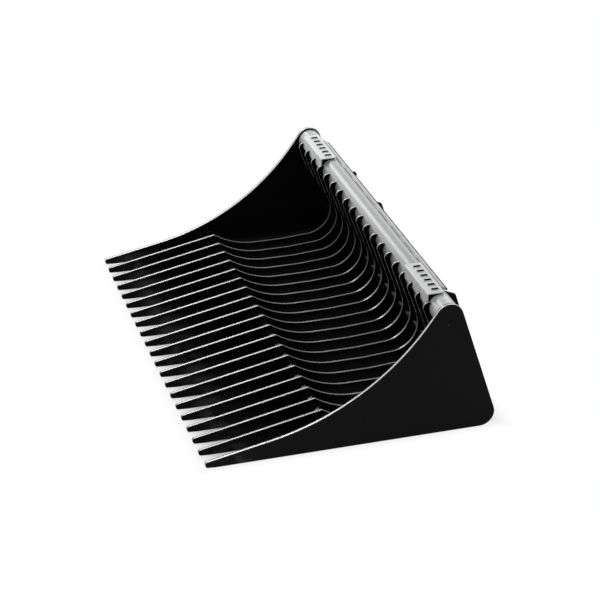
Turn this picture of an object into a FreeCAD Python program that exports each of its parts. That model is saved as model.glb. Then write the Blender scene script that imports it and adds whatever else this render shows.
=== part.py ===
"""Skeleton rock bucket: nineteen profiled plate tines between two side plates, on three tubes.

Millimetres. +X is the bucket's width, -Y is the front where the tips are, +Z is up.
The origin is the middle of the bounding box at ground level.
Profiles are drawn by reach (distance back from the tips) and height above the ground.
"""
import FreeCAD, Part
import math
import os

os.makedirs("parts", exist_ok=True)

# Overall width and the plates across it
OVERALL_WIDTH = 1892.0
SIDE_THICKNESS = 16.0
TINE_THICKNESS = 12.7
TINE_COUNT = 19

# Top tube
TUBE_RADIUS = 51.0
TUBE_WALL = 6.0
TUBE_REACH = 995.0
TUBE_HEIGHT = 511.0

# Cross tubes through the tines
CROSS_RADIUS = 28.0
CROSS_WALL = 5.0
FRONT_CROSS_DROP = 53.0
REAR_CROSS_SETBACK = 110.0
REAR_CROSS_HEIGHT = 145.0
HOLE_CLEARANCE = 0.3
HOLE_SIDES = 16

# Nose shared by tines and side plates
NOSE_HEIGHT = 24.0
NOSE_HEEL_HEIGHT = 3.0
NOSE_HEEL_REACH = 45.0
NOSE_TOP_RADIUS = 10.0
NOSE_HEEL_RADIUS = 11.0
BLADE_SLOPE_DEG = 11.3

# Side plate edge above the blade
SIDE_NOSE_SETBACK = 3.0
SIDE_NOSE_HEIGHT = 23.5
SIDE_EDGE_DEG = 55.6
SIDE_SWEEP_SHARE = 1.039
SIDE_TOP_MARGIN = 6.0
REAR_EDGE_DEG = 71.8
HEEL_CORNER_RADIUS = 60.0
VENT_RADIUS = 4.5
VENT_DROP = 29.0

# Tine: crest, floor, knee, neck and hook
CREST_SHARE = 0.509
CREST_RADIUS = 15.0
CREST_FALL_DEG = 33.0
FLOOR_HEIGHT = 62.5
FLOOR_ENTRY_RADIUS = 330.0
FLOOR_RISE_RUN = 239.0
FLOOR_RISE_DEG = 4.0
KNEE_SETBACK = 79.0
KNEE_RADIUS = 120.0
NECK_LEAN_DEG = 57.0
THROAT_HEIGHT = 400.0
THROAT_RADIUS = 90.0
HOOK_LEAN_DEG = 70.0
HOOK_RISE = 27.0
HOOK_RADIUS = 22.0
TINE_HEEL_CHAMFER = 42.0

# Coupler plate behind the tines
COUPLER_THICKNESS = 10.0
COUPLER_SETBACK = 2.0
COUPLER_DROP = 44.0
COUPLER_BOTTOM_HEIGHT = 106.0
COUPLER_WIDTH = 1136.0
LIP_LENGTH = 134.0
LIP_CAP = 9.0
LIP_DEPTH = 32.0
LIP_OPEN_DEG = 30.0
LIP_THICKNESS = 9.0
END_PLATE_THICKNESS = 10.0
END_PLATE_WIDTH = 21.0
END_PLATE_UPPER_RUN = 84.0
END_PLATE_LOWER_RUN = 270.0
END_PLATE_BLEND = 40.0
END_PLATE_CORNER = 5.0
FLANGE_THICKNESS = 12.0
FLANGE_DEPTH = 58.0
PIN_SLOT_SPACING = 940.0
PIN_SLOT_LENGTH = 64.0
PIN_SLOT_WIDTH = 34.0
PIN_SLOT_OFFSET = 29.0
GUSSET_THICKNESS = 10.0
GUSSET_HEIGHT = 90.0
GUSSET_MARGIN = 6.0
GUSSET_SIDE_STEP = 110.0

# Flat rail along the back of the top tube
RAIL_DEG = 60.0
RAIL_THICKNESS = 8.0
RAIL_FRONT_RUN = 4.0
RAIL_REAR_RUN = 24.0
RAIL_END_MARGIN = 166.0

# Lugs on the back of the top tube
LUG_THICKNESS = 12.0
LUG_STAND = 29.0
LUG_SHOULDER_DEG = 15.5
LUG_CROWN_DEG = 50.0
LUG_RADIUS = 3.0
EYE_DEG = 29.0
LOW_EYE_DEG = -8.0
EYE_STAND = 11.0
EYE_RADIUS = 11.5
EYE_HOLE_RADIUS = 4.5
EYE_LUG_PITCHES = 4.5
CORNER_LUG_PITCHES = 8.5
HOSE_LUG_PITCHES = -1.15

# Step treads on the top tube
TREAD_LENGTH = 276.0
TREAD_END_MARGIN = 246.0
TREAD_THICKNESS = 4.0
TREAD_CLEARANCE = 0.3
TREAD_BEND_RADIUS = 7.0
TREAD_REAR_OVERHANG = 16.0
TREAD_RISE = 4.0
TREAD_FLANGE_DROP = 52.0
TREAD_NOTCH_GAP = 1.2
TREAD_SLOT_COUNT = 6
TREAD_SLOT_PITCH = 42.0
TREAD_SLOT_LENGTH = 29.0
TREAD_SLOT_WIDTH = 14.0
TREAD_SLOT_SETBACK = 13.0
TREAD_SLOT_END_SIDES = 8
TREAD_RIM_HEIGHT = 2.0
TREAD_RIM_WIDTH = 3.5

# Places worked out from the sizes above
HALF_WIDTH = OVERALL_WIDTH / 2
INSIDE_HALF = HALF_WIDTH - SIDE_THICKNESS
TINE_GAP = (2 * INSIDE_HALF - TINE_COUNT * TINE_THICKNESS) / (TINE_COUNT + 1)
PITCH = TINE_GAP + TINE_THICKNESS
MIDDLE_TINE = (TINE_COUNT + 1) / 2
CREST_REACH = CREST_SHARE * TUBE_REACH
KNEE_REACH = TUBE_REACH + KNEE_SETBACK
FLOOR_RISE_REACH = KNEE_REACH - FLOOR_RISE_RUN
SIDE_SWEEP_RADIUS = SIDE_SWEEP_SHARE * TUBE_REACH
TREAD_MIDDLE = HALF_WIDTH - TREAD_END_MARGIN
COUPLER_HALF = COUPLER_WIDTH / 2


def rad(angle):
    return math.radians(angle)


def along(point, angle, distance):
    """The point a distance from another, at an angle above the reach direction."""
    return (point[0] + distance * math.cos(rad(angle)), point[1] + distance * math.sin(rad(angle)))


def crossing(p, p_angle, q, q_angle):
    """Where the line through p at one angle meets the line through q at another."""
    px, pz = math.cos(rad(p_angle)), math.sin(rad(p_angle))
    qx, qz = math.cos(rad(q_angle)), math.sin(rad(q_angle))
    determinant = px * qz - pz * qx
    step = ((q[0] - p[0]) * qz - (q[1] - p[1]) * qx) / determinant
    return (p[0] + step * px, p[1] + step * pz)


# The rear edge leans forward as it rises, and is tangent to a circle round the top tube
TUBE = (TUBE_REACH, TUBE_HEIGHT)
REAR_CIRCLE = TUBE_RADIUS + SIDE_TOP_MARGIN
REAR_DIRECTION = 180.0 - REAR_EDGE_DEG
REAR_NORMAL = REAR_DIRECTION - 90.0
REAR_TANGENT = along(TUBE, REAR_NORMAL, REAR_CIRCLE)


def rear_at(height, inset=0.0):
    """Point of the rear edge at a height, or of a line set in from it."""
    start = along(REAR_TANGENT, REAR_NORMAL, -inset)
    return crossing(start, REAR_DIRECTION, (0.0, height), 0.0)


TINE_INSET = COUPLER_SETBACK + COUPLER_THICKNESS
COUPLER_TOP_HEIGHT = TUBE_HEIGHT - COUPLER_DROP
COUPLER_FOOT = rear_at(COUPLER_BOTTOM_HEIGHT, COUPLER_SETBACK)
FLANGE_REAR = COUPLER_FOOT[0] + FLANGE_DEPTH
HALF_DEPTH = FLANGE_REAR / 2


def place(x, point):
    """Turn a profile point into the bucket's own frame."""
    return FreeCAD.Vector(x, point[0] - HALF_DEPTH, point[1])


def rounded(corners, x):
    """Edges of a closed outline whose corners are (point, radius); arcs are tangent."""
    count = len(corners)
    starts = []
    ends = []
    middles = []
    for index, (point, radius) in enumerate(corners):
        before = corners[index - 1][0]
        after = corners[(index + 1) % count][0]
        back = FreeCAD.Vector(before[0] - point[0], before[1] - point[1], 0).normalize()
        ahead = FreeCAD.Vector(after[0] - point[0], after[1] - point[1], 0).normalize()
        half = back.getAngle(ahead) / 2
        if radius <= 0 or half > math.pi / 2 - 1e-6:
            starts.append(point)
            ends.append(point)
            middles.append(None)
            continue
        run = radius / math.tan(half)
        centre_run = radius / math.sin(half)
        towards = (back + ahead).normalize()
        corner = FreeCAD.Vector(point[0], point[1], 0)
        first = corner + back * run
        last = corner + ahead * run
        nearest = corner + towards * (centre_run - radius)
        starts.append((first.x, first.y))
        ends.append((last.x, last.y))
        middles.append((nearest.x, nearest.y))
    edges = []
    for index in range(count):
        if middles[index] is not None:
            arc = Part.Arc(place(x, starts[index]), place(x, middles[index]), place(x, ends[index]))
            edges.append(arc.toShape())
        following = (index + 1) % count
        if math.dist(ends[index], starts[following]) > 1e-6:
            edges.append(Part.makeLine(place(x, ends[index]), place(x, starts[following])))
    return edges


def plate(edges, thickness):
    """Flat plate cut from an outline drawn at its low-X face."""
    face = Part.Face(Part.Wire(edges))
    return face.extrude(FreeCAD.Vector(thickness, 0, 0))


def bar(x_low, x_high, point, radius):
    """Round bar across the bucket."""
    axis = FreeCAD.Vector(1, 0, 0)
    return Part.makeCylinder(radius, x_high - x_low, place(x_low, point), axis)


def many_sided_bar(x_low, x_high, point, inside_radius):
    """Bar across the bucket with flat sides; a round of the inside radius fits in it."""
    corner_radius = inside_radius / math.cos(math.pi / HOLE_SIDES)
    turn = 360.0 / HOLE_SIDES
    corners = [(along(point, turn * index, corner_radius), 0.0) for index in range(HOLE_SIDES)]
    return plate(rounded(corners, x_low), x_high - x_low)


def pipe(half_length, point, radius, wall):
    outside = bar(-half_length, half_length, point, radius)
    return outside.cut(bar(-half_length, half_length, point, radius - wall))


def largest(shape):
    """The main solid that a cut leaves."""
    return max(shape.Solids, key=lambda solid: solid.Volume)


def save(node, shape):
    """Write one sub-part; it has to be sound."""
    if len(shape.Solids) == 1:
        shape = shape.Solids[0]
    if not shape.isValid():
        raise ValueError(node + " is not a valid solid")
    shape.exportStep("parts/" + node + ".step")


CREST = crossing((0.0, NOSE_HEIGHT), BLADE_SLOPE_DEG, (CREST_REACH, 0.0), 90.0)
FRONT_CROSS = along(CREST, -90.0, FRONT_CROSS_DROP)
REAR_CROSS = (TUBE_REACH + REAR_CROSS_SETBACK, REAR_CROSS_HEIGHT)


# Side plates
def side_outline(x):
    nose = (SIDE_NOSE_SETBACK, SIDE_NOSE_HEIGHT)
    heel = (SIDE_NOSE_SETBACK, NOSE_HEEL_HEIGHT)
    front_tangent = along(TUBE, SIDE_EDGE_DEG + 90.0, REAR_CIRCLE)
    sweep = crossing(nose, BLADE_SLOPE_DEG, front_tangent, SIDE_EDGE_DEG)
    shoulder = crossing(front_tangent, SIDE_EDGE_DEG, REAR_TANGENT, REAR_DIRECTION)
    return rounded([
        (nose, NOSE_TOP_RADIUS),
        (sweep, SIDE_SWEEP_RADIUS),
        (shoulder, REAR_CIRCLE),
        (rear_at(0.0), HEEL_CORNER_RADIUS),
        ((NOSE_HEEL_REACH, 0.0), 0.0),
        (heel, NOSE_HEEL_RADIUS),
    ], x)


def side_plate(x_low):
    body = plate(side_outline(x_low), SIDE_THICKNESS)
    vent = (TUBE_REACH - VENT_RADIUS, TUBE_HEIGHT - VENT_DROP)
    return body.cut(many_sided_bar(x_low - 1, x_low + SIDE_THICKNESS + 1, vent, VENT_RADIUS))


# Tines
def tine_outline(x):
    nose = (0.0, NOSE_HEIGHT)
    heel = (0.0, NOSE_HEEL_HEIGHT)
    entry = crossing(CREST, -CREST_FALL_DEG, (0.0, FLOOR_HEIGHT), 0.0)
    rise = (FLOOR_RISE_REACH, FLOOR_HEIGHT)
    knee_centre_reach = KNEE_REACH - KNEE_RADIUS
    rise_line = crossing(rise, FLOOR_RISE_DEG, (knee_centre_reach, 0.0), 90.0)
    knee_centre = (knee_centre_reach, rise_line[1] + KNEE_RADIUS / math.cos(rad(FLOOR_RISE_DEG)))
    neck_direction = 180.0 - NECK_LEAN_DEG
    neck_tangent = along(knee_centre, neck_direction - 90.0, KNEE_RADIUS)
    knee = crossing(rise, FLOOR_RISE_DEG, neck_tangent, neck_direction)
    throat = crossing(neck_tangent, neck_direction, (0.0, THROAT_HEIGHT), 0.0)
    hook_top = TUBE_HEIGHT + HOOK_RISE
    hook = crossing(throat, 180.0 - HOOK_LEAN_DEG, (0.0, hook_top), 0.0)
    rear_foot = rear_at(0.0, TINE_INSET)
    return rounded([
        (nose, NOSE_TOP_RADIUS),
        (CREST, CREST_RADIUS),
        (entry, FLOOR_ENTRY_RADIUS),
        (rise, 0.0),
        (knee, KNEE_RADIUS),
        (throat, THROAT_RADIUS),
        (hook, HOOK_RADIUS),
        (rear_at(hook_top, TINE_INSET), 0.0),
        (along(rear_foot, REAR_DIRECTION, TINE_HEEL_CHAMFER), 0.0),
        (along(rear_foot, 180.0, TINE_HEEL_CHAMFER), 0.0),
        ((NOSE_HEEL_REACH, 0.0), 0.0),
        (heel, NOSE_HEEL_RADIUS),
    ], x)


def tine(x_low):
    body = plate(tine_outline(x_low), TINE_THICKNESS)
    x_high = x_low + TINE_THICKNESS
    seat = bar(x_low - 1, x_high + 1, TUBE, TUBE_RADIUS + HOLE_CLEARANCE)
    body = body.cut(seat)
    for cross in (FRONT_CROSS, REAR_CROSS):
        body = body.cut(many_sided_bar(x_low - 1, x_high + 1, cross, CROSS_RADIUS + HOLE_CLEARANCE))
    return largest(body)


def tine_x(number):
    """Middle of a tine, counted from 1 at the low-X side; halves are gaps."""
    return (number - MIDDLE_TINE) * PITCH


# Coupler: points are given by run down from the plate's top edge and stand off its rear face
def coupler_point(down, out):
    top = rear_at(COUPLER_TOP_HEIGHT, COUPLER_SETBACK)
    return along(along(top, REAR_DIRECTION, -down), REAR_NORMAL, out)


def straight_outline(points, x):
    return rounded([(point, 0.0) for point in points], x)


def coupler_plate():
    foot_front = rear_at(COUPLER_BOTTOM_HEIGHT, TINE_INSET)
    points = [coupler_point(0, -COUPLER_THICKNESS), coupler_point(0, 0), COUPLER_FOOT, foot_front]
    return plate(straight_outline(points, -COUPLER_HALF), 2 * COUPLER_HALF)


def lip_points():
    """Hooked lip over the plate's top edge, open downwards for the carrier's top bar."""
    inner_run = LIP_DEPTH * math.cos(rad(LIP_OPEN_DEG))
    inner_out = LIP_DEPTH * math.sin(rad(LIP_OPEN_DEG))
    tip_down = inner_run - LIP_THICKNESS * math.sin(rad(LIP_OPEN_DEG))
    tip_out = inner_out + LIP_THICKNESS * math.cos(rad(LIP_OPEN_DEG))
    back = (tip_down + LIP_CAP) / math.cos(rad(LIP_OPEN_DEG)) * math.sin(rad(LIP_OPEN_DEG))
    return [
        coupler_point(0, -COUPLER_THICKNESS),
        coupler_point(0, 0),
        coupler_point(inner_run, inner_out),
        coupler_point(tip_down, tip_out),
        coupler_point(-LIP_CAP, tip_out - back),
        coupler_point(-LIP_CAP, -COUPLER_THICKNESS),
    ]


def top_lip(side):
    x_low = COUPLER_HALF - LIP_LENGTH if side > 0 else -COUPLER_HALF
    return plate(straight_outline(lip_points(), x_low), LIP_LENGTH)


FLANGE_TOP = COUPLER_BOTTOM_HEIGHT
FLANGE_FRONT = rear_at(FLANGE_TOP, TINE_INSET)[0]


def coupler_flange():
    """Level shelf under the plate, with a slot for each locking pin."""
    low = FLANGE_TOP - FLANGE_THICKNESS
    corner_radius = FLANGE_THICKNESS / 4
    points = [
        ((FLANGE_FRONT, FLANGE_TOP), 0.0),
        ((FLANGE_REAR, FLANGE_TOP), corner_radius),
        ((FLANGE_REAR, low), corner_radius),
        ((rear_at(low, TINE_INSET)[0], low), 0.0),
    ]
    body = plate(rounded(points, -COUPLER_HALF), 2 * COUPLER_HALF)
    straight = PIN_SLOT_LENGTH - PIN_SLOT_WIDTH
    slot_reach = COUPLER_FOOT[0] + PIN_SLOT_OFFSET
    height = FLANGE_THICKNESS + 2
    for middle in (-PIN_SLOT_SPACING / 2, PIN_SLOT_SPACING / 2):
        corner = place(middle - straight / 2, (slot_reach - PIN_SLOT_WIDTH / 2, low - 1))
        slot = Part.makeBox(straight, PIN_SLOT_WIDTH, height, corner)
        for end in (-straight / 2, straight / 2):
            foot = place(middle + end, (slot_reach, low - 1))
            slot = slot.fuse(Part.makeCylinder(PIN_SLOT_WIDTH / 2, height, foot))
        body = body.cut(slot)
    return body


def coupler_end(side):
    """End plate that ties the lip, the plate and the flange together."""
    lip = lip_points()
    low = FLANGE_TOP - FLANGE_THICKNESS
    corners = [
        (lip[0], 0.0),
        (lip[5], 0.0),
        (lip[4], 0.0),
        (lip[3], END_PLATE_CORNER),
        (coupler_point(END_PLATE_UPPER_RUN, END_PLATE_WIDTH), END_PLATE_BLEND),
        (coupler_point(END_PLATE_LOWER_RUN, END_PLATE_WIDTH), END_PLATE_BLEND),
        ((FLANGE_REAR, FLANGE_TOP), END_PLATE_CORNER),
        ((FLANGE_REAR, low), END_PLATE_CORNER),
        ((rear_at(low, TINE_INSET)[0], low), 0.0),
    ]
    x_low = COUPLER_HALF if side > 0 else -COUPLER_HALF - END_PLATE_THICKNESS
    return plate(rounded(corners, x_low), END_PLATE_THICKNESS)


def flange_gusset(x_middle):
    """Triangle between the plate's rear face and the flange's top."""
    toe = (FLANGE_REAR - GUSSET_MARGIN, FLANGE_TOP)
    head = rear_at(FLANGE_TOP + GUSSET_HEIGHT, COUPLER_SETBACK)
    corners = [
        (COUPLER_FOOT, 0.0),
        (toe, 0.0),
        (along(toe, 90.0, GUSSET_MARGIN), 0.0),
        (along(head, REAR_NORMAL, GUSSET_MARGIN), 0.0),
        (head, 0.0),
    ]
    return plate(rounded(corners, x_middle - GUSSET_THICKNESS / 2), GUSSET_THICKNESS)


def back_rail(half_length):
    """Flat bar that lies on the tube's upper back."""
    touch = along(TUBE, RAIL_DEG, TUBE_RADIUS + HOLE_CLEARANCE)
    front = along(touch, RAIL_DEG + 90.0, RAIL_FRONT_RUN)
    rear = along(touch, RAIL_DEG - 90.0, RAIL_REAR_RUN)
    points = [
        front,
        along(front, RAIL_DEG, RAIL_THICKNESS),
        along(rear, RAIL_DEG, RAIL_THICKNESS),
        rear,
    ]
    return plate(straight_outline(points, -half_length), 2 * half_length)


RAIL_HALF = HALF_WIDTH - RAIL_END_MARGIN
RAIL = back_rail(RAIL_HALF)


# Lugs
def tube_lug(x_middle):
    """Plate on the back of the top tube, cut to its round and to the rail."""
    x_low = x_middle - LUG_THICKNESS / 2
    floor = COUPLER_TOP_HEIGHT + HOLE_CLEARANCE
    shoulder = along(TUBE, LUG_SHOULDER_DEG, TUBE_RADIUS + LUG_STAND)
    inner_crown = along(TUBE, LUG_CROWN_DEG, TUBE_RADIUS - TUBE_WALL)
    corners = [
        (inner_crown, 0.0),
        (along(TUBE, LUG_CROWN_DEG, TUBE_RADIUS + HOLE_CLEARANCE), 0.0),
        (shoulder, LUG_RADIUS),
        (crossing(shoulder, REAR_DIRECTION, (0.0, floor), 0.0), 0.0),
        ((inner_crown[0], floor), 0.0),
    ]
    body = plate(rounded(corners, x_low), LUG_THICKNESS)
    body = body.cut(bar(x_low - 1, x_low + LUG_THICKNESS + 1, TUBE, TUBE_RADIUS + HOLE_CLEARANCE))
    return largest(body.cut(RAIL))


def eye_lug(x_middle, angle):
    """Small eye for a chain or a hose clip, standing on the tube."""
    x_low = x_middle - LUG_THICKNESS / 2
    x_high = x_low + LUG_THICKNESS
    eye = along(TUBE, angle, TUBE_RADIUS + EYE_STAND)
    body = many_sided_bar(x_low, x_high, eye, EYE_RADIUS)
    body = body.cut(many_sided_bar(x_low - 1, x_high + 1, eye, EYE_HOLE_RADIUS))
    body = body.cut(bar(x_low - 1, x_high + 1, TUBE, TUBE_RADIUS + HOLE_CLEARANCE))
    return largest(body.cut(RAIL))


# Step treads
TREAD_FRONT = TUBE_REACH - TUBE_RADIUS - TREAD_CLEARANCE - TREAD_THICKNESS
TREAD_TOP = TUBE_HEIGHT + TUBE_RADIUS + TREAD_CLEARANCE + TREAD_RISE + TREAD_THICKNESS


def tread_slot(x_middle, reach, extra, low, high):
    """Upright bar, longer front to back, used for the slots and their rims."""
    half_width = TREAD_SLOT_WIDTH / 2 + extra
    half_straight = (TREAD_SLOT_LENGTH - TREAD_SLOT_WIDTH) / 2
    turn = 2 * math.pi / TREAD_SLOT_END_SIDES
    corner_radius = half_width / math.cos(turn / 2)
    corners = []
    for index in range(TREAD_SLOT_END_SIDES):
        angle = turn * (index + 0.5)
        push = math.copysign(half_straight, math.sin(angle))
        x = x_middle + corner_radius * math.cos(angle)
        corners.append(place(x, (reach + corner_radius * math.sin(angle) + push, low)))
    outline = Part.makePolygon(corners + corners[:1])
    return Part.Face(outline).extrude(FreeCAD.Vector(0, 0, high - low))


def step_tread(side):
    """Folded plate over the tube's front and top, with raised slots to grip a boot."""
    middle = side * TREAD_MIDDLE
    x_low = middle - TREAD_LENGTH / 2
    rear = TUBE_REACH + TREAD_REAR_OVERHANG
    low = TREAD_TOP - TREAD_THICKNESS - TREAD_FLANGE_DROP
    inner_radius = TREAD_BEND_RADIUS - TREAD_THICKNESS
    corners = [
        ((TREAD_FRONT, low), 0.0),
        ((TREAD_FRONT, TREAD_TOP), TREAD_BEND_RADIUS),
        ((rear, TREAD_TOP), 0.0),
        ((rear, TREAD_TOP - TREAD_THICKNESS), 0.0),
        ((TREAD_FRONT + TREAD_THICKNESS, TREAD_TOP - TREAD_THICKNESS), inner_radius),
        ((TREAD_FRONT + TREAD_THICKNESS, low), 0.0),
    ]
    body = plate(rounded(corners, x_low), TREAD_LENGTH)
    slot_reach = TUBE_REACH - TREAD_SLOT_SETBACK
    under = TREAD_TOP - TREAD_THICKNESS
    slots = []
    for index in range(TREAD_SLOT_COUNT):
        x_slot = middle + (index - (TREAD_SLOT_COUNT - 1) / 2) * TREAD_SLOT_PITCH
        rim = tread_slot(x_slot, slot_reach, TREAD_RIM_WIDTH, under, TREAD_TOP + TREAD_RIM_HEIGHT)
        body = body.fuse(rim)
        high = TREAD_TOP + TREAD_RIM_HEIGHT + 1
        slots.append(tread_slot(x_slot, slot_reach, 0.0, under - 1, high))
    for slot in slots:
        body = body.cut(slot)
    notch_half = TINE_THICKNESS / 2 + TREAD_NOTCH_GAP
    notch_top = TUBE_HEIGHT + HOOK_RISE + TREAD_NOTCH_GAP
    for number in range(1, TINE_COUNT + 1):
        x_tine = tine_x(number)
        if abs(x_tine - middle) < TREAD_LENGTH / 2 + notch_half:
            corner = place(x_tine - notch_half, (TREAD_FRONT - 1, low - 1))
            cutter = Part.makeBox(2 * notch_half, TREAD_THICKNESS + 2, notch_top - low + 1, corner)
            body = body.cut(cutter)
    return body.removeSplitter()


for name, start in (("side_plate_left", -HALF_WIDTH), ("side_plate_right", INSIDE_HALF)):
    save(name, side_plate(start))

for number in range(1, TINE_COUNT + 1):
    save("tine_%02d" % number, tine(tine_x(number) - TINE_THICKNESS / 2))

save("top_tube", pipe(INSIDE_HALF, TUBE, TUBE_RADIUS, TUBE_WALL))
save("front_cross_tube", pipe(INSIDE_HALF, FRONT_CROSS, CROSS_RADIUS, CROSS_WALL))
save("rear_cross_tube", pipe(INSIDE_HALF, REAR_CROSS, CROSS_RADIUS, CROSS_WALL))

save("coupler_plate", coupler_plate())
save("coupler_flange", coupler_flange())
for name, side in (("left", -1), ("right", 1)):
    save("coupler_lip_" + name, top_lip(side))
    save("coupler_end_" + name, coupler_end(side))
    save("step_tread_" + name, step_tread(side))
    angle = LOW_EYE_DEG if side > 0 else EYE_DEG
    save("eye_lug_" + name, eye_lug(side * EYE_LUG_PITCHES * PITCH, angle))
    inner = PIN_SLOT_SPACING / 2 - GUSSET_SIDE_STEP
    outer = PIN_SLOT_SPACING / 2 + GUSSET_SIDE_STEP / 2
    save("inner_gusset_" + name, flange_gusset(side * inner))
    save("outer_gusset_" + name, flange_gusset(side * outer))
save("back_rail", RAIL)
save("corner_lug", tube_lug(CORNER_LUG_PITCHES * PITCH))
save("hose_lug", tube_lug(HOSE_LUG_PITCHES * PITCH))

print("depth", round(2 * HALF_DEPTH, 2), "pitch", round(PITCH, 3))
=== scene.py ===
"""Looks for the skeleton rock bucket: paint, plated treads, weld beads, camera and studio."""
import math

import bmesh
import bpy
from mathutils import Matrix, Vector


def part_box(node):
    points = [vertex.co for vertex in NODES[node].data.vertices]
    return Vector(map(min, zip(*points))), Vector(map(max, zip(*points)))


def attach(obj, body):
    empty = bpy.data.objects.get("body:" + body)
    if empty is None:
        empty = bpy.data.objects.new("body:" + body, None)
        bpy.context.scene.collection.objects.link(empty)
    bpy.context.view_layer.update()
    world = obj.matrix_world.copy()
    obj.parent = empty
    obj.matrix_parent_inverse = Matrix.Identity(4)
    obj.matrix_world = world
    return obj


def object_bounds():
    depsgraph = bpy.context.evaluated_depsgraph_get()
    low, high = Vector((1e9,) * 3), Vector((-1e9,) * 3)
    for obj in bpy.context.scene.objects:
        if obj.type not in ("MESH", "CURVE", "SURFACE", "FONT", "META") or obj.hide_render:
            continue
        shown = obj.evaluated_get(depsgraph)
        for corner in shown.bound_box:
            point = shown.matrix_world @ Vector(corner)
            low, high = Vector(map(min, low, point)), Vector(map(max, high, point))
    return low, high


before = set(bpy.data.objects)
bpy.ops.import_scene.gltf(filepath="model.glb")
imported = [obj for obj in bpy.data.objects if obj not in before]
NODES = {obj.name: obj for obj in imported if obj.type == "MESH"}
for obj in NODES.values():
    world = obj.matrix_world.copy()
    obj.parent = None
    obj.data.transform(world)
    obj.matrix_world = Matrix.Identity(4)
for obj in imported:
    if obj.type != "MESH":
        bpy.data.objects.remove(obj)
CAD_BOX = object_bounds()

# The photograph's camera, in the model's own frame
CAMERA_PLACE = Vector((7.465, -2.201, 4.173))
CAMERA_AZIMUTH = 73.23
CAMERA_ELEVATION = 27.16
SENSOR_WIDTH = 36.0
FOCAL_PIXELS = 2027.9
IMAGE_PIXELS = 600

# Colours, linear
PAINT_COLOUR = (0.0030, 0.0031, 0.0034, 1.0)
# Painted highlight on the cut edges of the tines and of the side plates
EDGE_HIGHLIGHT_COLOUR = (0.38, 0.385, 0.39, 1.0)
SIDE_EDGE_HIGHLIGHT_COLOUR = (0.56, 0.565, 0.57, 1.0)
# Painted reflection of the floor, low on the plates just behind the tips
TIP_REFLECTION_COLOUR = (0.045, 0.0455, 0.046, 1.0)
SILVER_COLOUR = (0.29, 0.293, 0.297, 1.0)
# Painted light: lighter silver on the tube beyond the right tread
LIT_END_SILVER_COLOUR = (0.46, 0.463, 0.468, 1.0)
RAIL_COLOUR = (0.60, 0.604, 0.61, 1.0)
TREAD_COLOUR = (0.62, 0.625, 0.63, 1.0)
# Painted shade: on the tube under the treads, in the tread slots and underside, and along the rail's
# outer corner
SHADE_COLOUR = (0.002, 0.002, 0.002, 1.0)
COUPLER_COLOUR = (0.009, 0.0092, 0.0098, 1.0)
RUBBED_COLOUR = (0.024, 0.0245, 0.026, 1.0)
FLOOR_COLOUR = (0.92, 0.92, 0.92, 1.0)
WHITE = (1.0, 1.0, 1.0, 1.0)

# How much darker or lighter a colour gets in its clouds
DUSTY_SHARE = 1.8
WELD_SHARE = 2.2
SILVER_WELD_SHARE = 1.1
SILVER_DARK_SHARE = 0.88
RAIL_DARK_SHARE = 0.85
TREAD_DARK_SHARE = 0.9

# Gloss, as the index of refraction of the paint, and roughness
TINE_GLOSS = 1.12
SIDE_GLOSS = 1.17
PLATE_ROUGHNESS = 0.24
FITTING_GLOSS = 1.12
FITTING_ROUGHNESS = 0.55
FRONT_TUBE_GLOSS = 1.34
FRONT_TUBE_ROUGHNESS = 0.16
REAR_TUBE_GLOSS = 1.14
REAR_TUBE_ROUGHNESS = 0.2
COUPLER_GLOSS = 1.3
COUPLER_ROUGHNESS = 0.36
RUBBED_ROUGHNESS = 0.15
WELD_GLOSS = 1.15
WELD_ROUGHNESS = 0.45
RAIL_GLOSS = 1.1
RAIL_ROUGHNESS = 0.4
METAL_GLOSS = 1.4
METAL_SHARE = 0.1
SILVER_ROUGHNESS = 0.27
TREAD_ROUGHNESS = 0.42

# Noise: features per metre, detail and, where given, roughness
EDGE_CLOUD = (9.0, 4.0)
FITTING_CLOUD = (11.0, 4.0)
SILVER_CLOUD = (6.0, 5.0)
RAIL_CLOUD = (30.0, 4.0)
TREAD_CLOUD = (14.0, 5.0)
WELD_CLOUD = (60.0, 3.0)
# Patches of the painted floor reflection behind the tips
TIP_REFLECTION_PATCHES = (13.0, 6.0, 0.6)
RUBBED_PATCHES = (5.0, 8.0, 0.68)
PAINT_GRAIN = (160.0, 2.0)
SILVER_GRAIN = (220.0, 2.0)
TREAD_GRAIN = (300.0, 2.0)
WELD_GRAIN = (420.0, 3.0)

# Height of the grain in metres, and how strongly it shows
GRAIN_DEPTH = 0.0002
GRAIN_STRENGTH = 0.3
WELD_GRAIN_DEPTH = 0.0006
WELD_GRAIN_STRENGTH = 0.6

# Cut edges of the plates carry a painted highlight: how far from the middle it stays light, as a share
# of the thickness, and how light it is painted by the way the edge looks, lighter facing up
TINE_CREST = 0.26
SIDE_CREST = 0.2
CREST_FADE = 0.12
TINE_LEAST_LIFT = 0.6
SIDE_LEAST_LIFT = 1.0
UPWARD_LIFT = 0.75
LEVEL_LIFT = 0.25
EDGE_METALLIC = 0.28
EDGE_VARIATION = 0.4
LEAST_SHINE = 0.2
EDGE_NORMAL = 0.5

# Painted reflection of the floor behind the tips, in metres, and the span of noise over which its
# patches begin
TIP_REFLECTION_START = 0.04
TIP_REFLECTION_END = 0.24
TIP_REFLECTION_HEIGHT = 0.05
TIP_REFLECTION_NOISE_LOW = 0.38
TIP_REFLECTION_NOISE_HIGH = 0.62
RUBBED_NOISE_LOW = 0.52
RUBBED_NOISE_HIGH = 0.72

# Tube, rail and treads, in metres and degrees
COVER_MARGIN = 0.004
# Painted shade line along the rail's outer corner: its width and how much wider it can get
RAIL_SHADE_LINE_WIDTH = 0.0085
RAIL_SHADE_LINE_MOST = 1.5
RAIL_DEG = 60.0
RAIL_FRONT_RUN = 0.004
SLOT_COUNT = 6
SLOT_PITCH = 0.042
SLOT_HALF_WIDTH = 0.0085
SLOT_HALF_LENGTH = 0.0148
SLOT_REACH_STEP = -0.013

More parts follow.
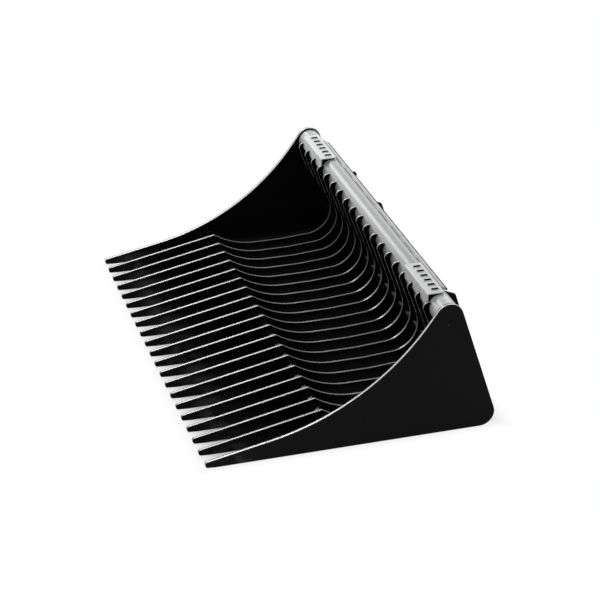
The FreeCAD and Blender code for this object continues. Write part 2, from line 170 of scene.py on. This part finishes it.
# Weld beads, in metres and degrees
WELD_SIZE = 0.0045
WELD_RIPPLE = 0.14
WELD_STEP = 0.006
WELD_END_SHARE = 0.4
ROUND_LEAST_STEPS = 8
RUN_LEAST_STEPS = 4
BEAD_PROFILE = ((1.0, 0.0), (0.72, 0.42), (0.42, 0.72), (0.0, 1.0), (-0.1, -0.1))
HOOK_START_DEG = 153.0
HOOK_END_DEG = 345.0
FULL_TURN_DEG = 360.0
STITCH_LENGTH = 0.055
STITCH_PITCH = 0.16
REAR_LEAN_DEG = 71.8

# Studio: how much of the floor glows by itself, and where its kept shadow ends outside the bucket
FLOOR_GLOW = 0.12
MIRRORED_GLOW = 0.6
SHADOW_NEAR = -0.13
SHADOW_FAR = 0.06
FLOOR_HALF = 40.0
FLOOR_DROP = 0.0005
WORLD_STRENGTH = 0.35
VIEW_DISTANCE = 200.0


class Graph:
    """Short way to build a node tree."""

    def __init__(self, name):
        self.material = bpy.data.materials.new(name)
        self.material.use_nodes = True
        self.tree = self.material.node_tree
        self.tree.nodes.clear()

    def node(self, kind, **values):
        made = self.tree.nodes.new(kind)
        for key, value in values.items():
            setattr(made, key, value)
        return made

    def link(self, source, output, target, socket):
        self.tree.links.new(source.outputs[output], target.inputs[socket])

    def feed(self, value, socket):
        """Sets a socket to a number or colour, or links it to another socket."""
        if isinstance(value, (int, float, tuple)):
            socket.default_value = value
        else:
            self.tree.links.new(value, socket)

    def math(self, operation, *values):
        made = self.node("ShaderNodeMath", operation=operation)
        for index, value in enumerate(values):
            self.feed(value, made.inputs[index])
        return made.outputs[0]

    def mix_colour(self, factor, first, second):
        made = self.node("ShaderNodeMix", data_type="RGBA")
        self.feed(factor, made.inputs["Factor"])
        for socket, value in zip(colour_sockets(made), (first, second)):
            self.feed(value, socket)
        return next(socket for socket in made.outputs if socket.type == "RGBA")

    def place(self, kind):
        """X, Y and Z of a texture coordinate, Object in metres or Generated from 0 to 1."""
        split = self.node("ShaderNodeSeparateXYZ")
        self.link(self.node("ShaderNodeTexCoord"), kind, split, "Vector")
        return split.outputs

    def facing(self):
        """X, Y and Z of the way a face looks."""
        split = self.node("ShaderNodeSeparateXYZ")
        self.link(self.node("ShaderNodeNewGeometry"), "True Normal", split, "Vector")
        return split.outputs

    def ramp(self, value, start, end, first=0.0, last=1.0, shape="SMOOTHSTEP"):
        """first at start and before it, last at end and beyond it."""
        made = self.node("ShaderNodeMapRange", interpolation_type=shape)
        inputs = ("Value", "From Min", "From Max", "To Min", "To Max")
        for name, given in zip(inputs, (value, start, end, first, last)):
            self.feed(given, made.inputs[name])
        return made.outputs["Result"]


def colour_sockets(mix):
    return [socket for socket in mix.inputs if socket.type == "RGBA"]


def scaled(colour, share):
    """The colour made darker or lighter."""
    return tuple(value * share for value in colour[:3]) + (1.0,)


def noise(graph, scale, detail, roughness=0.5):
    """Noise from 0 to 1 in object space."""
    place = graph.node("ShaderNodeTexCoord")
    texture = graph.node("ShaderNodeTexNoise")
    texture.inputs["Scale"].default_value = scale
    texture.inputs["Detail"].default_value = detail
    texture.inputs["Roughness"].default_value = roughness
    graph.link(place, "Object", texture, "Vector")
    return texture.outputs["Fac"]


def relief(graph, shader, grain, depth=GRAIN_DEPTH, strength=GRAIN_STRENGTH):
    """Fine bumps, such as the slight orange peel of sprayed paint."""
    made = graph.node("ShaderNodeBump")
    made.inputs["Strength"].default_value = strength
    made.inputs["Distance"].default_value = depth
    graph.feed(noise(graph, *grain), made.inputs["Height"])
    graph.link(made, "Normal", shader, "Normal")


def principled(graph, **values):
    shader = graph.node("ShaderNodeBsdfPrincipled")
    for key, value in values.items():
        shader.inputs[key.replace("_", " ")].default_value = value
    output = graph.node("ShaderNodeOutputMaterial")
    graph.link(shader, "BSDF", output, "Surface")
    return shader


def painted_tip_reflection(graph):
    """Painted reflection of the floor: grey patches low on the plates and just behind the tips."""
    place = graph.place("Object")
    tip = CAD_BOX[0][1]
    middle = (TIP_REFLECTION_START + TIP_REFLECTION_END) / 2
    begins = graph.ramp(place["Y"], tip + TIP_REFLECTION_START, tip + middle)
    ends = graph.ramp(place["Y"], tip + TIP_REFLECTION_END, tip + middle)
    low = graph.ramp(place["Z"], TIP_REFLECTION_HEIGHT, TIP_REFLECTION_HEIGHT / 3)
    patchy = graph.ramp(noise(graph, *TIP_REFLECTION_PATCHES), TIP_REFLECTION_NOISE_LOW, TIP_REFLECTION_NOISE_HIGH)
    where = graph.math("MULTIPLY", graph.math("MULTIPLY", begins, ends), low)
    return graph.math("MULTIPLY", where, patchy)


def black_plate(name, gloss, edge_highlight_colour, least_lift, crest):
    """Gloss black paint on flame-cut plate, with a painted highlight on the cut edges: lighter than the
    flats, most in the middle of the thickness and where the edge faces up.
    """
    graph = Graph(name)
    shader = principled(graph, Roughness=PLATE_ROUGHNESS, IOR=gloss)
    facing = graph.facing()
    # Painted highlight: the cut edges get a lighter colour, kept to the middle of the thickness and
    # lifted where they face up
    edge = graph.math("LESS_THAN", graph.math("ABSOLUTE", facing["X"]), EDGE_NORMAL)
    across = graph.math("SUBTRACT", graph.place("Generated")["X"], 0.5)
    rounded = graph.ramp(graph.math("ABSOLUTE", across), crest, crest + CREST_FADE, 1.0, 0.0)
    edge = graph.math("MULTIPLY", edge, rounded)
    upward = graph.math("MULTIPLY_ADD", facing["Z"], UPWARD_LIFT, LEVEL_LIFT)
    lift = graph.math("MAXIMUM", upward, least_lift)
    amount = graph.math("MULTIPLY", edge, lift)
    cloud = noise(graph, *EDGE_CLOUD)
    varied = graph.math("MULTIPLY_ADD", cloud, EDGE_VARIATION, 1.0 - EDGE_VARIATION / 2)
    amount = graph.math("MULTIPLY", amount, varied)
    # Painted reflection of the floor in patches behind the tips
    colour = graph.mix_colour(painted_tip_reflection(graph), PAINT_COLOUR, TIP_REFLECTION_COLOUR)
    # Painted highlight on the cut edges, over the rest
    colour = graph.mix_colour(amount, colour, edge_highlight_colour)
    graph.feed(colour, shader.inputs["Base Color"])
    facing_up = graph.math("MAXIMUM", facing["Z"], LEAST_SHINE)
    shine = graph.math("MULTIPLY", graph.math("MULTIPLY", edge, facing_up), EDGE_METALLIC)
    graph.feed(shine, shader.inputs["Metallic"])
    relief(graph, shader, PAINT_GRAIN)
    return graph.material


def coupler_paint():
    """The coupler's paint, rubbed in patches by the loader."""
    graph = Graph("coupler_paint")
    shader = principled(graph, IOR=COUPLER_GLOSS)
    cloud = noise(graph, *RUBBED_PATCHES)
    rubbed = graph.ramp(cloud, RUBBED_NOISE_LOW, RUBBED_NOISE_HIGH, shape="LINEAR")
    colour = graph.mix_colour(rubbed, COUPLER_COLOUR, RUBBED_COLOUR)
    graph.feed(colour, shader.inputs["Base Color"])
    rough = graph.math("MULTIPLY_ADD", rubbed, RUBBED_ROUGHNESS, COUPLER_ROUGHNESS)
    graph.feed(rough, shader.inputs["Roughness"])
    relief(graph, shader, PAINT_GRAIN)
    return graph.material


def black_fitting(name, gloss, roughness):
    """The same paint on tubes and lugs, with a little dust in it."""
    graph = Graph(name)
    shader = principled(graph, Roughness=roughness, IOR=gloss)
    cloud = noise(graph, *FITTING_CLOUD)
    colour = graph.mix_colour(cloud, PAINT_COLOUR, scaled(PAINT_COLOUR, DUSTY_SHARE))
    graph.feed(colour, shader.inputs["Base Color"])
    relief(graph, shader, PAINT_GRAIN)
    return graph.material


def weld_paint(name, base, share):
    """Paint over a rippled bead."""
    graph = Graph(name)
    shader = principled(graph, Roughness=WELD_ROUGHNESS, IOR=WELD_GLOSS)
    cloud = noise(graph, *WELD_CLOUD)
    colour = graph.mix_colour(cloud, base, scaled(base, share))
    graph.feed(colour, shader.inputs["Base Color"])
    relief(graph, shader, WELD_GRAIN, WELD_GRAIN_DEPTH, WELD_GRAIN_STRENGTH)
    return graph.material


def within(graph, value, low, high):
    """1 where a value lies between two limits."""
    above = graph.math("GREATER_THAN", value, low)
    below = graph.math("LESS_THAN", value, high)
    return graph.math("MULTIPLY", above, below)


def silver_paint():
    """Silver paint, with painted shade where the treads cover the tube and painted light beyond the
    right one.
    """
    graph = Graph("silver_paint")
    shader = principled(graph, Roughness=SILVER_ROUGHNESS, Metallic=METAL_SHARE, IOR=METAL_GLOSS)
    cloud = noise(graph, *SILVER_CLOUD)
    colour = graph.mix_colour(cloud, scaled(SILVER_COLOUR, SILVER_DARK_SHARE), SILVER_COLOUR)
    low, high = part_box("step_tread_right")
    place = graph.place("Object")
    across = graph.math("ABSOLUTE", place["X"])
    # Painted shade on the tube where the treads cover it
    under_tread_shade = within(graph, across, low[0] + COVER_MARGIN, high[0] - COVER_MARGIN)
    inside = within(graph, place["Y"], low[1], high[1] - COVER_MARGIN)
    upper = graph.math("GREATER_THAN", place["Z"], low[2] + COVER_MARGIN)
    under_tread_shade = graph.math("MULTIPLY", under_tread_shade, inside)
    under_tread_shade = graph.math("MULTIPLY", under_tread_shade, upper)
    # Painted light: lighter silver beyond the right tread
    painted_lit_end = graph.math("GREATER_THAN", place["X"], high[0])
    colour = graph.mix_colour(painted_lit_end, colour, LIT_END_SILVER_COLOUR)
    colour = graph.mix_colour(under_tread_shade, colour, SHADE_COLOUR)
    graph.feed(colour, shader.inputs["Base Color"])
    relief(graph, shader, SILVER_GRAIN)
    return graph.material


def rail_paint():
    """Brighter silver on the rail, with painted shade along its outer corner."""
    graph = Graph("rail_paint")
    shader = principled(graph, Roughness=RAIL_ROUGHNESS, IOR=RAIL_GLOSS)
    cloud = noise(graph, *RAIL_CLOUD)
    colour = graph.mix_colour(cloud, scaled(RAIL_COLOUR, RAIL_DARK_SHARE), RAIL_COLOUR)
    # Painted shade line of uneven width along the rail's outer corner
    widest = RAIL_SHADE_LINE_WIDTH * RAIL_SHADE_LINE_MOST
    uneven = graph.math("MULTIPLY_ADD", cloud, RAIL_SHADE_LINE_WIDTH, -widest)
    start = graph.math("ADD", uneven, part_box("back_rail")[1][1])
    outer = graph.math("GREATER_THAN", graph.place("Object")["Y"], start)
    colour = graph.mix_colour(outer, colour, SHADE_COLOUR)
    graph.feed(colour, shader.inputs["Base Color"])
    return graph.material


def tread_metal():
    """Plated tread, with painted shade in its slots and on its underside."""
    graph = Graph("tread_metal")
    shader = principled(graph, Roughness=TREAD_ROUGHNESS, Metallic=METAL_SHARE, IOR=METAL_GLOSS)
    cloud = noise(graph, *TREAD_CLOUD)
    colour = graph.mix_colour(cloud, scaled(TREAD_COLOUR, TREAD_DARK_SHARE), TREAD_COLOUR)
    low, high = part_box("step_tread_right")
    tube_low, tube_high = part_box("top_tube")
    place = graph.place("Object")
    across = graph.math("ABSOLUTE", place["X"])
    start = (low[0] + high[0]) / 2 - SLOT_COUNT / 2 * SLOT_PITCH
    along = graph.math("SUBTRACT", across, start)
    cell = graph.math("MODULO", along, SLOT_PITCH)
    from_middle = graph.math("ABSOLUTE", graph.math("SUBTRACT", cell, SLOT_PITCH / 2))
    narrow = graph.math("LESS_THAN", from_middle, SLOT_HALF_WIDTH)
    slot_middle = (tube_low[1] + tube_high[1]) / 2 + SLOT_REACH_STEP
    depth = graph.math("ABSOLUTE", graph.math("SUBTRACT", place["Y"], slot_middle))
    short = graph.math("LESS_THAN", depth, SLOT_HALF_LENGTH)
    in_slot = graph.math("MULTIPLY", narrow, short)
    # Painted shade in the slots and on the faces that look down
    under = graph.math("LESS_THAN", graph.facing()["Z"], -EDGE_NORMAL)
    shaded = graph.math("MAXIMUM", in_slot, under)
    colour = graph.mix_colour(shaded, colour, SHADE_COLOUR)
    graph.feed(colour, shader.inputs["Base Color"])
    relief(graph, shader, TREAD_GRAIN)
    return graph.material


def dress(node, material):
    """Gives a solid one material over all its faces."""
    piece = NODES[node]
    piece.data.materials.clear()
    piece.data.materials.append(material)
    for face in piece.data.polygons:
        face.material_index = 0


WELD = weld_paint("weld_paint", PAINT_COLOUR, WELD_SHARE)
SILVER_WELD = weld_paint("silver_weld_paint", RAIL_COLOUR, SILVER_WELD_SHARE)
FITTING = black_fitting("black_fitting", FITTING_GLOSS, FITTING_ROUGHNESS)
COUPLER = coupler_paint()

# Looks by the start of a solid's name; the lugs take the fitting's
LOOKS = {
    "tine": black_plate("black_tine", TINE_GLOSS, EDGE_HIGHLIGHT_COLOUR, TINE_LEAST_LIFT, TINE_CREST),
    "side_plate": black_plate("black_side", SIDE_GLOSS, SIDE_EDGE_HIGHLIGHT_COLOUR, SIDE_LEAST_LIFT, SIDE_CREST),
    "front_cross_tube": black_fitting("black_front_tube", FRONT_TUBE_GLOSS, FRONT_TUBE_ROUGHNESS),
    "rear_cross_tube": black_fitting("black_rear_tube", REAR_TUBE_GLOSS, REAR_TUBE_ROUGHNESS),
    "top_tube": silver_paint(),
    "back_rail": rail_paint(),
    "step_tread": tread_metal(),
    "coupler": COUPLER,
    "inner_gusset": COUPLER,
    "outer_gusset": COUPLER,
}
for name in NODES:
    found = [look for start, look in LOOKS.items() if name.startswith(start)]
    dress(name, found[0] if found else FITTING)


def join_rings(bm, rings, closed):
    """Skin over a bead's cross-sections, capped where the bead ends."""
    pairs = list(zip(rings, rings[1:]))
    if closed:
        pairs.append((rings[-1], rings[0]))
    else:
        bm.faces.new(rings[0])
        bm.faces.new(rings[-1])
    for ring, following in pairs:
        for index, corner in enumerate(ring):
            bm.faces.new([ring[index - 1], corner, following[index], following[index - 1]])


def rippled(index):
    """Size of a bead at one of its cross-sections."""
    return WELD_SIZE * (1.0 + WELD_RIPPLE * (1 if index % 2 else -1))


def weld_round(bm, tube, x_face, side, start_deg, end_deg):
    """Bead where a tube meets a plate's face; side is the way the face looks along X."""
    low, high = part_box(tube)
    y_middle = (low[1] + high[1]) / 2
    z_middle = (low[2] + high[2]) / 2
    radius = (high[2] - low[2]) / 2
    closed = end_deg - start_deg >= FULL_TURN_DEG
    span = math.radians(end_deg - start_deg)
    count = max(ROUND_LEAST_STEPS, int(span * radius / WELD_STEP)) * 2
    rings = []
    for index in range(count if closed else count + 1):
        angle = math.radians(start_deg) + span * index / count
        size = rippled(index)
        ring = []
        for out, off in BEAD_PROFILE:
            y = y_middle + (radius + out * size) * math.cos(angle)
            z = z_middle + (radius + out * size) * math.sin(angle)
            ring.append(bm.verts.new((x_face + side * off * size, y, z)))
        rings.append(ring)
    join_rings(bm, rings, closed)


def add_piece(name, bm, material):
    """Makes a piece of the mesh, fixed to the part's one body."""
    mesh = bpy.data.meshes.new(name)
    bmesh.ops.recalc_face_normals(bm, faces=bm.faces)
    for face in bm.faces:
        face.smooth = True
    bm.to_mesh(mesh)
    bm.free()
    mesh.materials.append(material)
    piece = bpy.data.objects.new(name, mesh)
    bpy.context.scene.collection.objects.link(piece)
    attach(piece, "root")


def add_welds(tube, start_deg, end_deg):
    """Beads round a tube on both faces of every tine and inside both side plates."""
    bm = bmesh.new()
    for name in NODES:
        if not name.startswith("tine"):
            continue
        low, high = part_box(name)
        weld_round(bm, tube, low[0], -1, start_deg, end_deg)
        weld_round(bm, tube, high[0], 1, start_deg, end_deg)
    weld_round(bm, tube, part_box("side_plate_left")[1][0], 1, 0.0, FULL_TURN_DEG)
    weld_round(bm, tube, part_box("side_plate_right")[0][0], -1, 0.0, FULL_TURN_DEG)
    add_piece("welds_" + tube, bm, WELD)


def weld_run(bm, start, end, first_out, second_out):
    """Straight bead in the corner between two faces, with a ripple."""
    start, end = Vector(start), Vector(end)
    count = max(RUN_LEAST_STEPS, int((end - start).length / WELD_STEP))
    rings = []
    for index in range(count + 1):
        reach = rippled(index)
        if index in (0, count):
            reach *= WELD_END_SHARE
        middle = start.lerp(end, index / count)
        ring = []
        for first, second in BEAD_PROFILE:
            offset = Vector(first_out) * (first * reach) + Vector(second_out) * (second * reach)
            ring.append(bm.verts.new(middle + offset))
        rings.append(ring)
    join_rings(bm, rings, False)


def add_rail_stitches():
    """Stitch welds along the front of the rail on the top tube."""
    low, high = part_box("top_tube")
    radius = (high[2] - low[2]) / 2
    y_middle, z_middle = (low[1] + high[1]) / 2, (low[2] + high[2]) / 2
    angle = math.radians(RAIL_DEG)
    outward = Vector((0, math.cos(angle), math.sin(angle)))
    forward = Vector((0, -math.sin(angle), math.cos(angle)))
    corner = Vector((0, y_middle, z_middle)) + outward * radius + forward * RAIL_FRONT_RUN
    bm = bmesh.new()
    rail_low, rail_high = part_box("back_rail")
    count = int((rail_high[0] - rail_low[0]) / STITCH_PITCH)
    for index in range(count):
        x = (index - (count - 1) / 2) * STITCH_PITCH
        start = corner + Vector((x - STITCH_LENGTH / 2, 0, 0))
        end = corner + Vector((x + STITCH_LENGTH / 2, 0, 0))
        weld_run(bm, start, end, forward, outward)
    add_piece("welds_back_rail", bm, SILVER_WELD)


def add_coupler_welds():
    """Beads where the gussets and end plates stand on the coupler's plate and flange."""
    bm = bmesh.new()
    plate_low, plate_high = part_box("coupler_plate")
    flange_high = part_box("coupler_flange")[1]
    lean = math.radians(REAR_LEAN_DEG)
    upward = Vector((0, -math.cos(lean), math.sin(lean)))
    rearward = Vector((0, math.sin(lean), math.cos(lean)))
    foot_y, foot_z = plate_high[1], plate_low[2]
    plate_run = (plate_high[2] - plate_low[2]) / math.sin(lean)
    faces = []
    for name in NODES:
        low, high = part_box(name)
        if "gusset" in name:
            gusset_run = (high[2] - low[2]) / math.sin(lean)
            faces.append((low[0], -1, gusset_run, high[1]))
            faces.append((high[0], 1, gusset_run, high[1]))
        elif name == "coupler_end_left":
            faces.append((high[0], 1, plate_run, flange_high[1]))
        elif name == "coupler_end_right":
            faces.append((low[0], -1, plate_run, flange_high[1]))
    for x, side, run, toe_y in faces:
        sideways = (side, 0, 0)
        foot = Vector((x, foot_y, foot_z))
        weld_run(bm, foot, (x, toe_y, foot_z), sideways, (0, 0, 1))
        weld_run(bm, foot, foot + upward * run, sideways, rearward)
    edge = WELD_SIZE * 2
    start = (plate_low[0] + edge, foot_y, foot_z)
    weld_run(bm, start, (plate_high[0] - edge, foot_y, foot_z), rearward, (0, 0, 1))
    add_piece("welds_coupler", bm, WELD)


add_rail_stitches()
add_coupler_welds()
add_welds("top_tube", HOOK_START_DEG, HOOK_END_DEG)
add_welds("front_cross_tube", 0.0, FULL_TURN_DEG)
add_welds("rear_cross_tube", 0.0, FULL_TURN_DEG)


def add_camera():
    """The photograph's camera, from its place and the way it looks back along."""
    azimuth = math.radians(CAMERA_AZIMUTH)
    elevation = math.radians(CAMERA_ELEVATION)
    back = Vector((
        math.sin(azimuth) * math.cos(elevation),
        -math.cos(azimuth) * math.cos(elevation),
        math.sin(elevation),
    ))
    right = Vector((0, 0, 1)).cross(back).normalized()
    up = back.cross(right)
    camera = bpy.data.cameras.new("camera")
    camera.sensor_width = SENSOR_WIDTH
    camera.lens = SENSOR_WIDTH * FOCAL_PIXELS / IMAGE_PIXELS
    camera.clip_end = VIEW_DISTANCE
    holder = bpy.data.objects.new("camera", camera)
    turn = Matrix((right, up, back)).transposed().to_4x4()
    holder.matrix_world = Matrix.Translation(CAMERA_PLACE) @ turn
    bpy.context.scene.collection.objects.link(holder)
    bpy.context.scene.camera = holder


def floor_material():
    """White floor that keeps the bucket's soft shadow and turns plain white further out."""
    graph = Graph("studio_floor")
    rays = graph.node("ShaderNodeLightPath")
    place = graph.place("Object")
    half_width, half_depth = CAD_BOX[1][0], CAD_BOX[1][1]
    sideways = graph.math("SUBTRACT", graph.math("ABSOLUTE", place["X"]), half_width)
    lengthways = graph.math("SUBTRACT", graph.math("ABSOLUTE", place["Y"]), half_depth)
    outside = graph.math("MAXIMUM", sideways, lengthways)
    far = graph.ramp(outside, SHADOW_NEAR, SHADOW_FAR, FLOOR_GLOW, 1.0)
    shown = graph.math("MULTIPLY", rays.outputs["Is Camera Ray"], far)
    glossy, through = rays.outputs["Is Glossy Ray"], rays.outputs["Is Transmission Ray"]
    mirrored = graph.math("MULTIPLY", graph.math("MAXIMUM", glossy, through), MIRRORED_GLOW)
    amount = graph.math("MAXIMUM", shown, mirrored)
    matt = graph.node("ShaderNodeBsdfDiffuse")
    matt.inputs["Color"].default_value = FLOOR_COLOUR
    glow = graph.node("ShaderNodeEmission")
    glow.inputs["Color"].default_value = WHITE
    glow.inputs["Strength"].default_value = 1.0
    mix = graph.node("ShaderNodeMixShader")
    graph.feed(amount, mix.inputs[0])
    graph.link(matt, "BSDF", mix, 1)
    graph.link(glow, "Emission", mix, 2)
    output = graph.node("ShaderNodeOutputMaterial")
    graph.link(mix, "Shader", output, "Surface")
    return graph.material


def add_floor():
    """Level floor just under the bucket."""
    mesh = bpy.data.meshes.new("floor")
    corners = [(-FLOOR_HALF, -FLOOR_HALF, 0), (FLOOR_HALF, -FLOOR_HALF, 0),
               (FLOOR_HALF, FLOOR_HALF, 0), (-FLOOR_HALF, FLOOR_HALF, 0)]
    mesh.from_pydata(corners, [], [(0, 1, 2, 3)])
    mesh.materials.append(floor_material())
    floor = bpy.data.objects.new("floor", mesh)
    floor.location.z = -FLOOR_DROP
    bpy.context.scene.collection.objects.link(floor)


def add_lamp(name, place, target, width, height, radiance):
    """Rectangular soft box; radiance is what a mirror would show of it."""
    lamp = bpy.data.lights.new(name, "AREA")
    lamp.shape = "RECTANGLE"
    lamp.size = width
    lamp.size_y = height
    lamp.energy = radiance * math.pi * width * height
    holder = bpy.data.objects.new(name, lamp)
    holder.location = place
    facing = (Vector(place) - Vector(target)).normalized()
    holder.rotation_euler = facing.to_track_quat("Z", "Y").to_euler()
    bpy.context.scene.collection.objects.link(holder)


def add_world():
    """Even light all round, plain white for the camera."""
    world = bpy.data.worlds.new("studio")
    bpy.context.scene.world = world
    world.use_nodes = True
    tree = world.node_tree
    tree.nodes.clear()
    rays = tree.nodes.new("ShaderNodeLightPath")
    sky = tree.nodes.new("ShaderNodeBackground")
    sky.inputs["Color"].default_value = WHITE
    strength = tree.nodes.new("ShaderNodeMapRange")
    strength.inputs["To Min"].default_value = WORLD_STRENGTH
    strength.inputs["To Max"].default_value = 1.0
    tree.links.new(rays.outputs["Is Camera Ray"], strength.inputs["Value"])
    tree.links.new(strength.outputs["Result"], sky.inputs["Strength"])
    output = tree.nodes.new("ShaderNodeOutputWorld")
    tree.links.new(sky.outputs["Background"], output.inputs["Surface"])


add_camera()
add_floor()
add_world()
add_lamp("far_wall", place=(-4.7, 0.0, 2.3), target=(0.0, 0.0, 0.9), width=9.0, height=3.6, radiance=2.2)
add_lamp("far_box", place=(-4.4, -0.7, 2.9), target=(0.0, 0.0, 0.3), width=1.5, height=1.6, radiance=5.0)
add_lamp("back_box", place=(0.0, 6.5, 1.6), target=(0.0, 0.5, 0.3), width=6.0, height=3.0, radiance=2.4)
add_lamp("top_box", place=(0.8, -1.4, 6.0), target=(0.0, 0.0, 0.0), width=4.5, height=4.5, radiance=1.6)

bpy.context.scene.view_settings.view_transform = "Standard"
